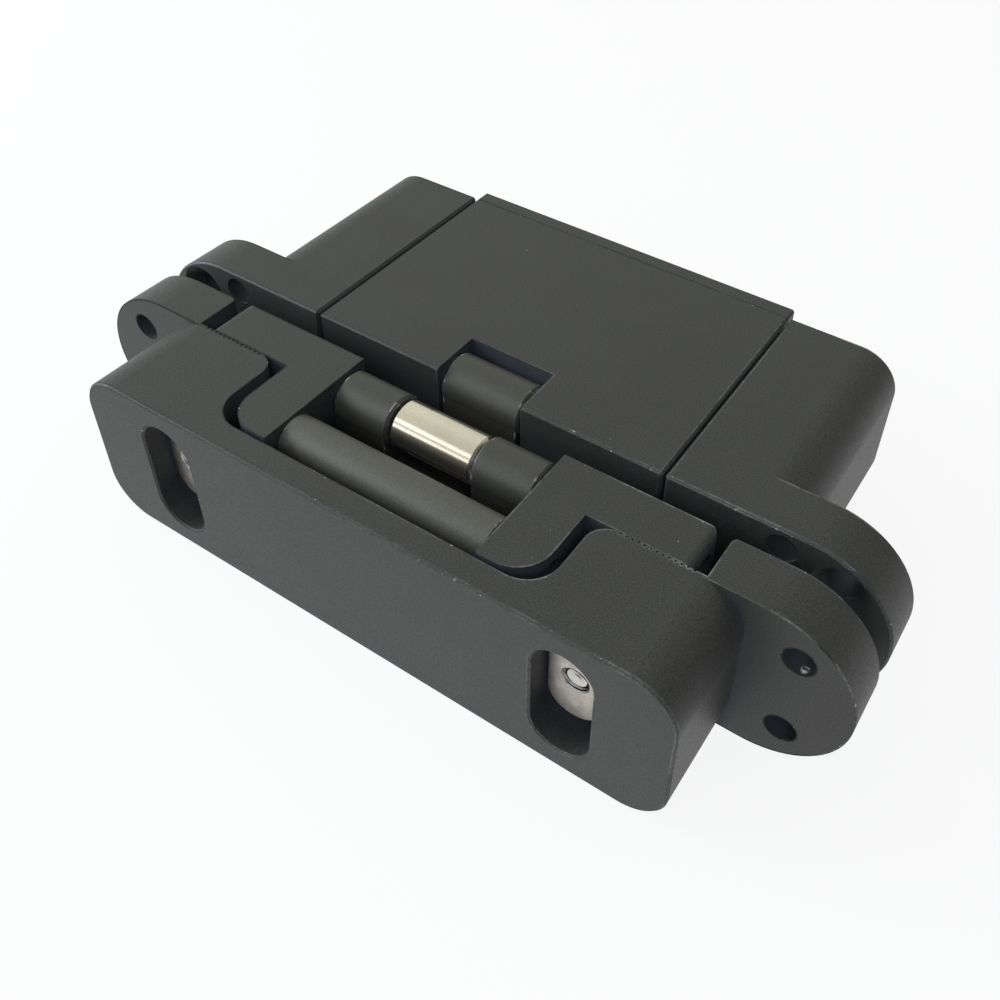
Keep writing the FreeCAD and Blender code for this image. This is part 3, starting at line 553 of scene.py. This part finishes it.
def make_finishes():
    """Each material slot of the record with its finish."""
    return {
        "coated_black": coated_black(),
        "barrel_black": satin_black(
            "barrel_black_satin",
            dark=(0.050, 0.050, 0.041, 1),
            light=(0.070, 0.070, 0.058, 1),
            metal=0.35,
            rough=0.48,
        ),
        "bright_steel": turned_steel(
            "bright_turned_steel",
            dark=(0.66, 0.61, 0.505, 1),
            light=(0.72, 0.665, 0.555, 1),
            rough=0.19,
            marks=1.2 * MICRON,
        ),
        "pin_steel": turned_steel(
            "ground_pin_steel",
            dark=(0.58, 0.56, 0.52, 1),
            light=(0.72, 0.70, 0.66, 1),
            rough=0.22,
            marks=1.5 * MICRON,
        ),
        "nut_steel": plain_metal(
            "plated_nut_steel",
            dark=(0.40, 0.375, 0.34, 1),
            light=(0.70, 0.66, 0.60, 1),
            rough=0.42,
            grain_size=0.18 * MM,
        ),
        "dark_screws": plain_metal(
            "oxidised_screws",
            dark=(0.045, 0.045, 0.047, 1),
            light=(0.08, 0.08, 0.082, 1),
            rough=0.38,
            grain_size=0.15 * MM,
        ),
        "bearing_bronze": plain_metal(
            "bearing_bronze_plain",
            dark=(0.38, 0.23, 0.10, 1),
            light=(0.52, 0.33, 0.16, 1),
            rough=0.40,
            grain_size=0.2 * MM,
        ),
        "washer_polymer": washer_polymer(),
    }


def dress_nodes(finishes):
    """Gives each solid its finish in place of the plain colour it came with, and the tube a lighter black
    painted for the light on it.
    """
    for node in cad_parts.values():
        plain = node.data.materials[0].name
        node.data.materials[0] = finishes[plain]
    # Painted light: the tie tube gets a lighter copy of the barrels' black, standing in for the light that
    # falls on it
    lit_tube_copy = satin_black(
        "tie_tube_satin_painted_lit",
        dark=(0.078, 0.078, 0.064, 1),
        light=(0.112, 0.111, 0.093, 1),
        metal=0.35,
        rough=0.54,
    )
    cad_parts["tie_tube"].data.materials[0] = lit_tube_copy


# Fine details of the screws: their turned ends, the nuts' threads and the coat over the adjusters

ROUND_STEPS = 64
SMOOTH_ANGLE = math.radians(35)

# How far a piece reaches into the solid that it sits on
SUNK = 0.02 * MM

# A thread's ridge: the steps in which it runs out, half its foot as a share of the pitch, and the least
# share of that at its ends
RUN_OUT_STEPS = ROUND_STEPS / 6
RIDGE_HALF_FOOT = 0.42
RIDGE_LEAST = 0.05


def make_piece(name, points, faces, body, slot, finishes):
    """A closed mesh that rides on a body and has the finish of one of the record's slots."""
    mesh = bpy.data.meshes.new(name)
    mesh.from_pydata(points, [], faces)
    shape = bmesh.new()
    shape.from_mesh(mesh)
    bmesh.ops.recalc_face_normals(shape, faces=shape.faces)
    shape.to_mesh(mesh)
    shape.free()
    mesh.shade_smooth()
    mesh.set_sharp_from_angle(angle=SMOOTH_ANGLE)
    mesh.materials.append(finishes[slot])
    piece = bpy.data.objects.new(name, mesh)
    bpy.context.scene.collection.objects.link(piece)
    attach(piece, body)


def round_y(axis, radius, angle, y):
    """A point round an axis that runs along Y through the X and Z of axis."""
    return (axis[0] + radius * math.cos(angle), y, axis[1] + radius * math.sin(angle))


def turned_solid(axis, profile, closed):
    """Points and faces of a profile of (radius, y) turned round a Y axis: a ring if closed, else capped."""
    points = []
    for step in range(ROUND_STEPS):
        angle = 2 * math.pi * step / ROUND_STEPS
        points += [round_y(axis, radius, angle, y) for radius, y in profile]
    count = len(profile)
    faces = []
    for step in range(ROUND_STEPS):
        here, there = step * count, (step + 1) % ROUND_STEPS * count
        for corner in range(count if closed else count - 1):
            after = (corner + 1) % count
            faces.append((here + corner, there + corner, there + after, here + after))
    if not closed:
        for corner in (0, count - 1):
            faces.append([step * count + corner for step in range(ROUND_STEPS)])
    return points, faces


def bore_thread(axis, radius, depth, pitch, low, high):
    """Points and faces of the helical ridge on a bore's wall, which runs out at both ends."""
    steps = int(ROUND_STEPS * (high - low) / pitch)
    points = []
    for step in range(steps + 1):
        angle = 2 * math.pi * step / ROUND_STEPS
        y = low + pitch * step / ROUND_STEPS
        height = min(1.0, step / RUN_OUT_STEPS, (steps - step) / RUN_OUT_STEPS)
        foot = RIDGE_HALF_FOOT * pitch * max(height, RIDGE_LEAST)
        crest = radius - depth * height
        points.append(round_y(axis, radius + SUNK, angle, y - foot))
        points.append(round_y(axis, crest, angle, y))
        points.append(round_y(axis, radius + SUNK, angle, y + foot))
    faces = [(0, 1, 2), (3 * steps, 3 * steps + 1, 3 * steps + 2)]
    for step in range(steps):
        for corner in range(3):
            here, after = 3 * step + corner, 3 * step + (corner + 1) % 3
            faces.append((here, here + 3, after + 3, after))
    return points, faces


def make_clamp_ends(finishes):
    """In each nut plate: the clamp screw's turned end, a dark lining of painted shade round it and the nut's
    thread.
    """
    bore = 2.0 * MM
    mouth = 0.2 * MM
    end_radius = 1.6 * MM
    end_rise = 0.14 * MM
    end_chamfer = 0.10 * MM
    dimple_radius = 0.7 * MM
    dimple_floor = 0.4 * dimple_radius
    dimple_depth = 0.10 * MM
    film = 0.02 * MM
    thread_depth = 0.26 * MM
    thread_pitch = 0.7 * MM
    thread_start = 0.10 * MM
    thread_overlap = 0.9 * MM
    for side in ("left", "right"):
        low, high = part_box("clamp_screw_" + side)
        axis = ((low.x + high.x) / 2, (low.z + high.z) / 2)
        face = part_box("nut_plate_" + side)[0].y
        end = low.y
        front = end - end_rise
        profile = [
            (end_radius, end + SUNK),
            (end_radius, front + end_chamfer),
            (end_radius - end_chamfer, front),
            (dimple_radius, front),
            (dimple_floor, front + dimple_depth),
        ]
        tip = turned_solid(axis, profile, closed=False)
        make_piece("clamp_end_" + side, *tip, "carriage", "pin_steel", finishes)
        # Painted shade: a thin dark lining over the bore's wall and round the screw's end, in the dark
        # screws' finish
        profile = [
            (end_radius - film, end + SUNK),
            (end_radius - film, end - film),
            (bore - film, end - film),
            (bore - film, face + mouth),
            (bore + SUNK, face + mouth),
            (bore + SUNK, end + SUNK),
        ]
        shade_lining = turned_solid(axis, profile, closed=True)
        make_piece("clamp_painted_shade_" + side, *shade_lining, "carriage", "dark_screws", finishes)
        start, stop = face + thread_start, end + thread_overlap
        ridge = bore_thread(axis, bore, thread_depth, thread_pitch, start, stop)
        make_piece("clamp_thread_" + side, *ridge, "carriage", "nut_steel", finishes)


def make_adjuster_faces(finishes):
    """The dished coat over each adjuster's end, a little inside its bore."""
    rim_depth = 0.55 * MM
    middle_depth = 0.95 * MM
    shoulder_drop = 0.08 * MM
    slope_rise = 0.06 * MM
    low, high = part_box("adjuster_screws")
    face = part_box("gate_bracket_right")[0].y
    bore = (high.z - low.z) / 2
    height = (low.z + high.z) / 2
    shoulder_radius = 0.80 * bore
    slope_radius = 0.50 * bore
    middle_radius = 0.15 * bore
    rim = face + rim_depth
    middle = face + middle_depth
    for side, x in (("left", low.x + bore), ("right", high.x - bore)):
        profile = [
            (bore + SUNK, low.y + SUNK),
            (bore + SUNK, rim),
            (shoulder_radius, rim + shoulder_drop),
            (slope_radius, middle - slope_rise),
            (middle_radius, middle),
        ]
        dish = turned_solid((x, height), profile, closed=False)
        make_piece("adjuster_face_" + side, *dish, "gate_half", "coated_black", finishes)


make_camera()
make_floor()
make_world()
make_lamps()
surfaces = make_finishes()
dress_nodes(surfaces)
make_clamp_ends(surfaces)
make_adjuster_faces(surfaces)

bpy.context.scene.view_settings.view_transform = "Standard"
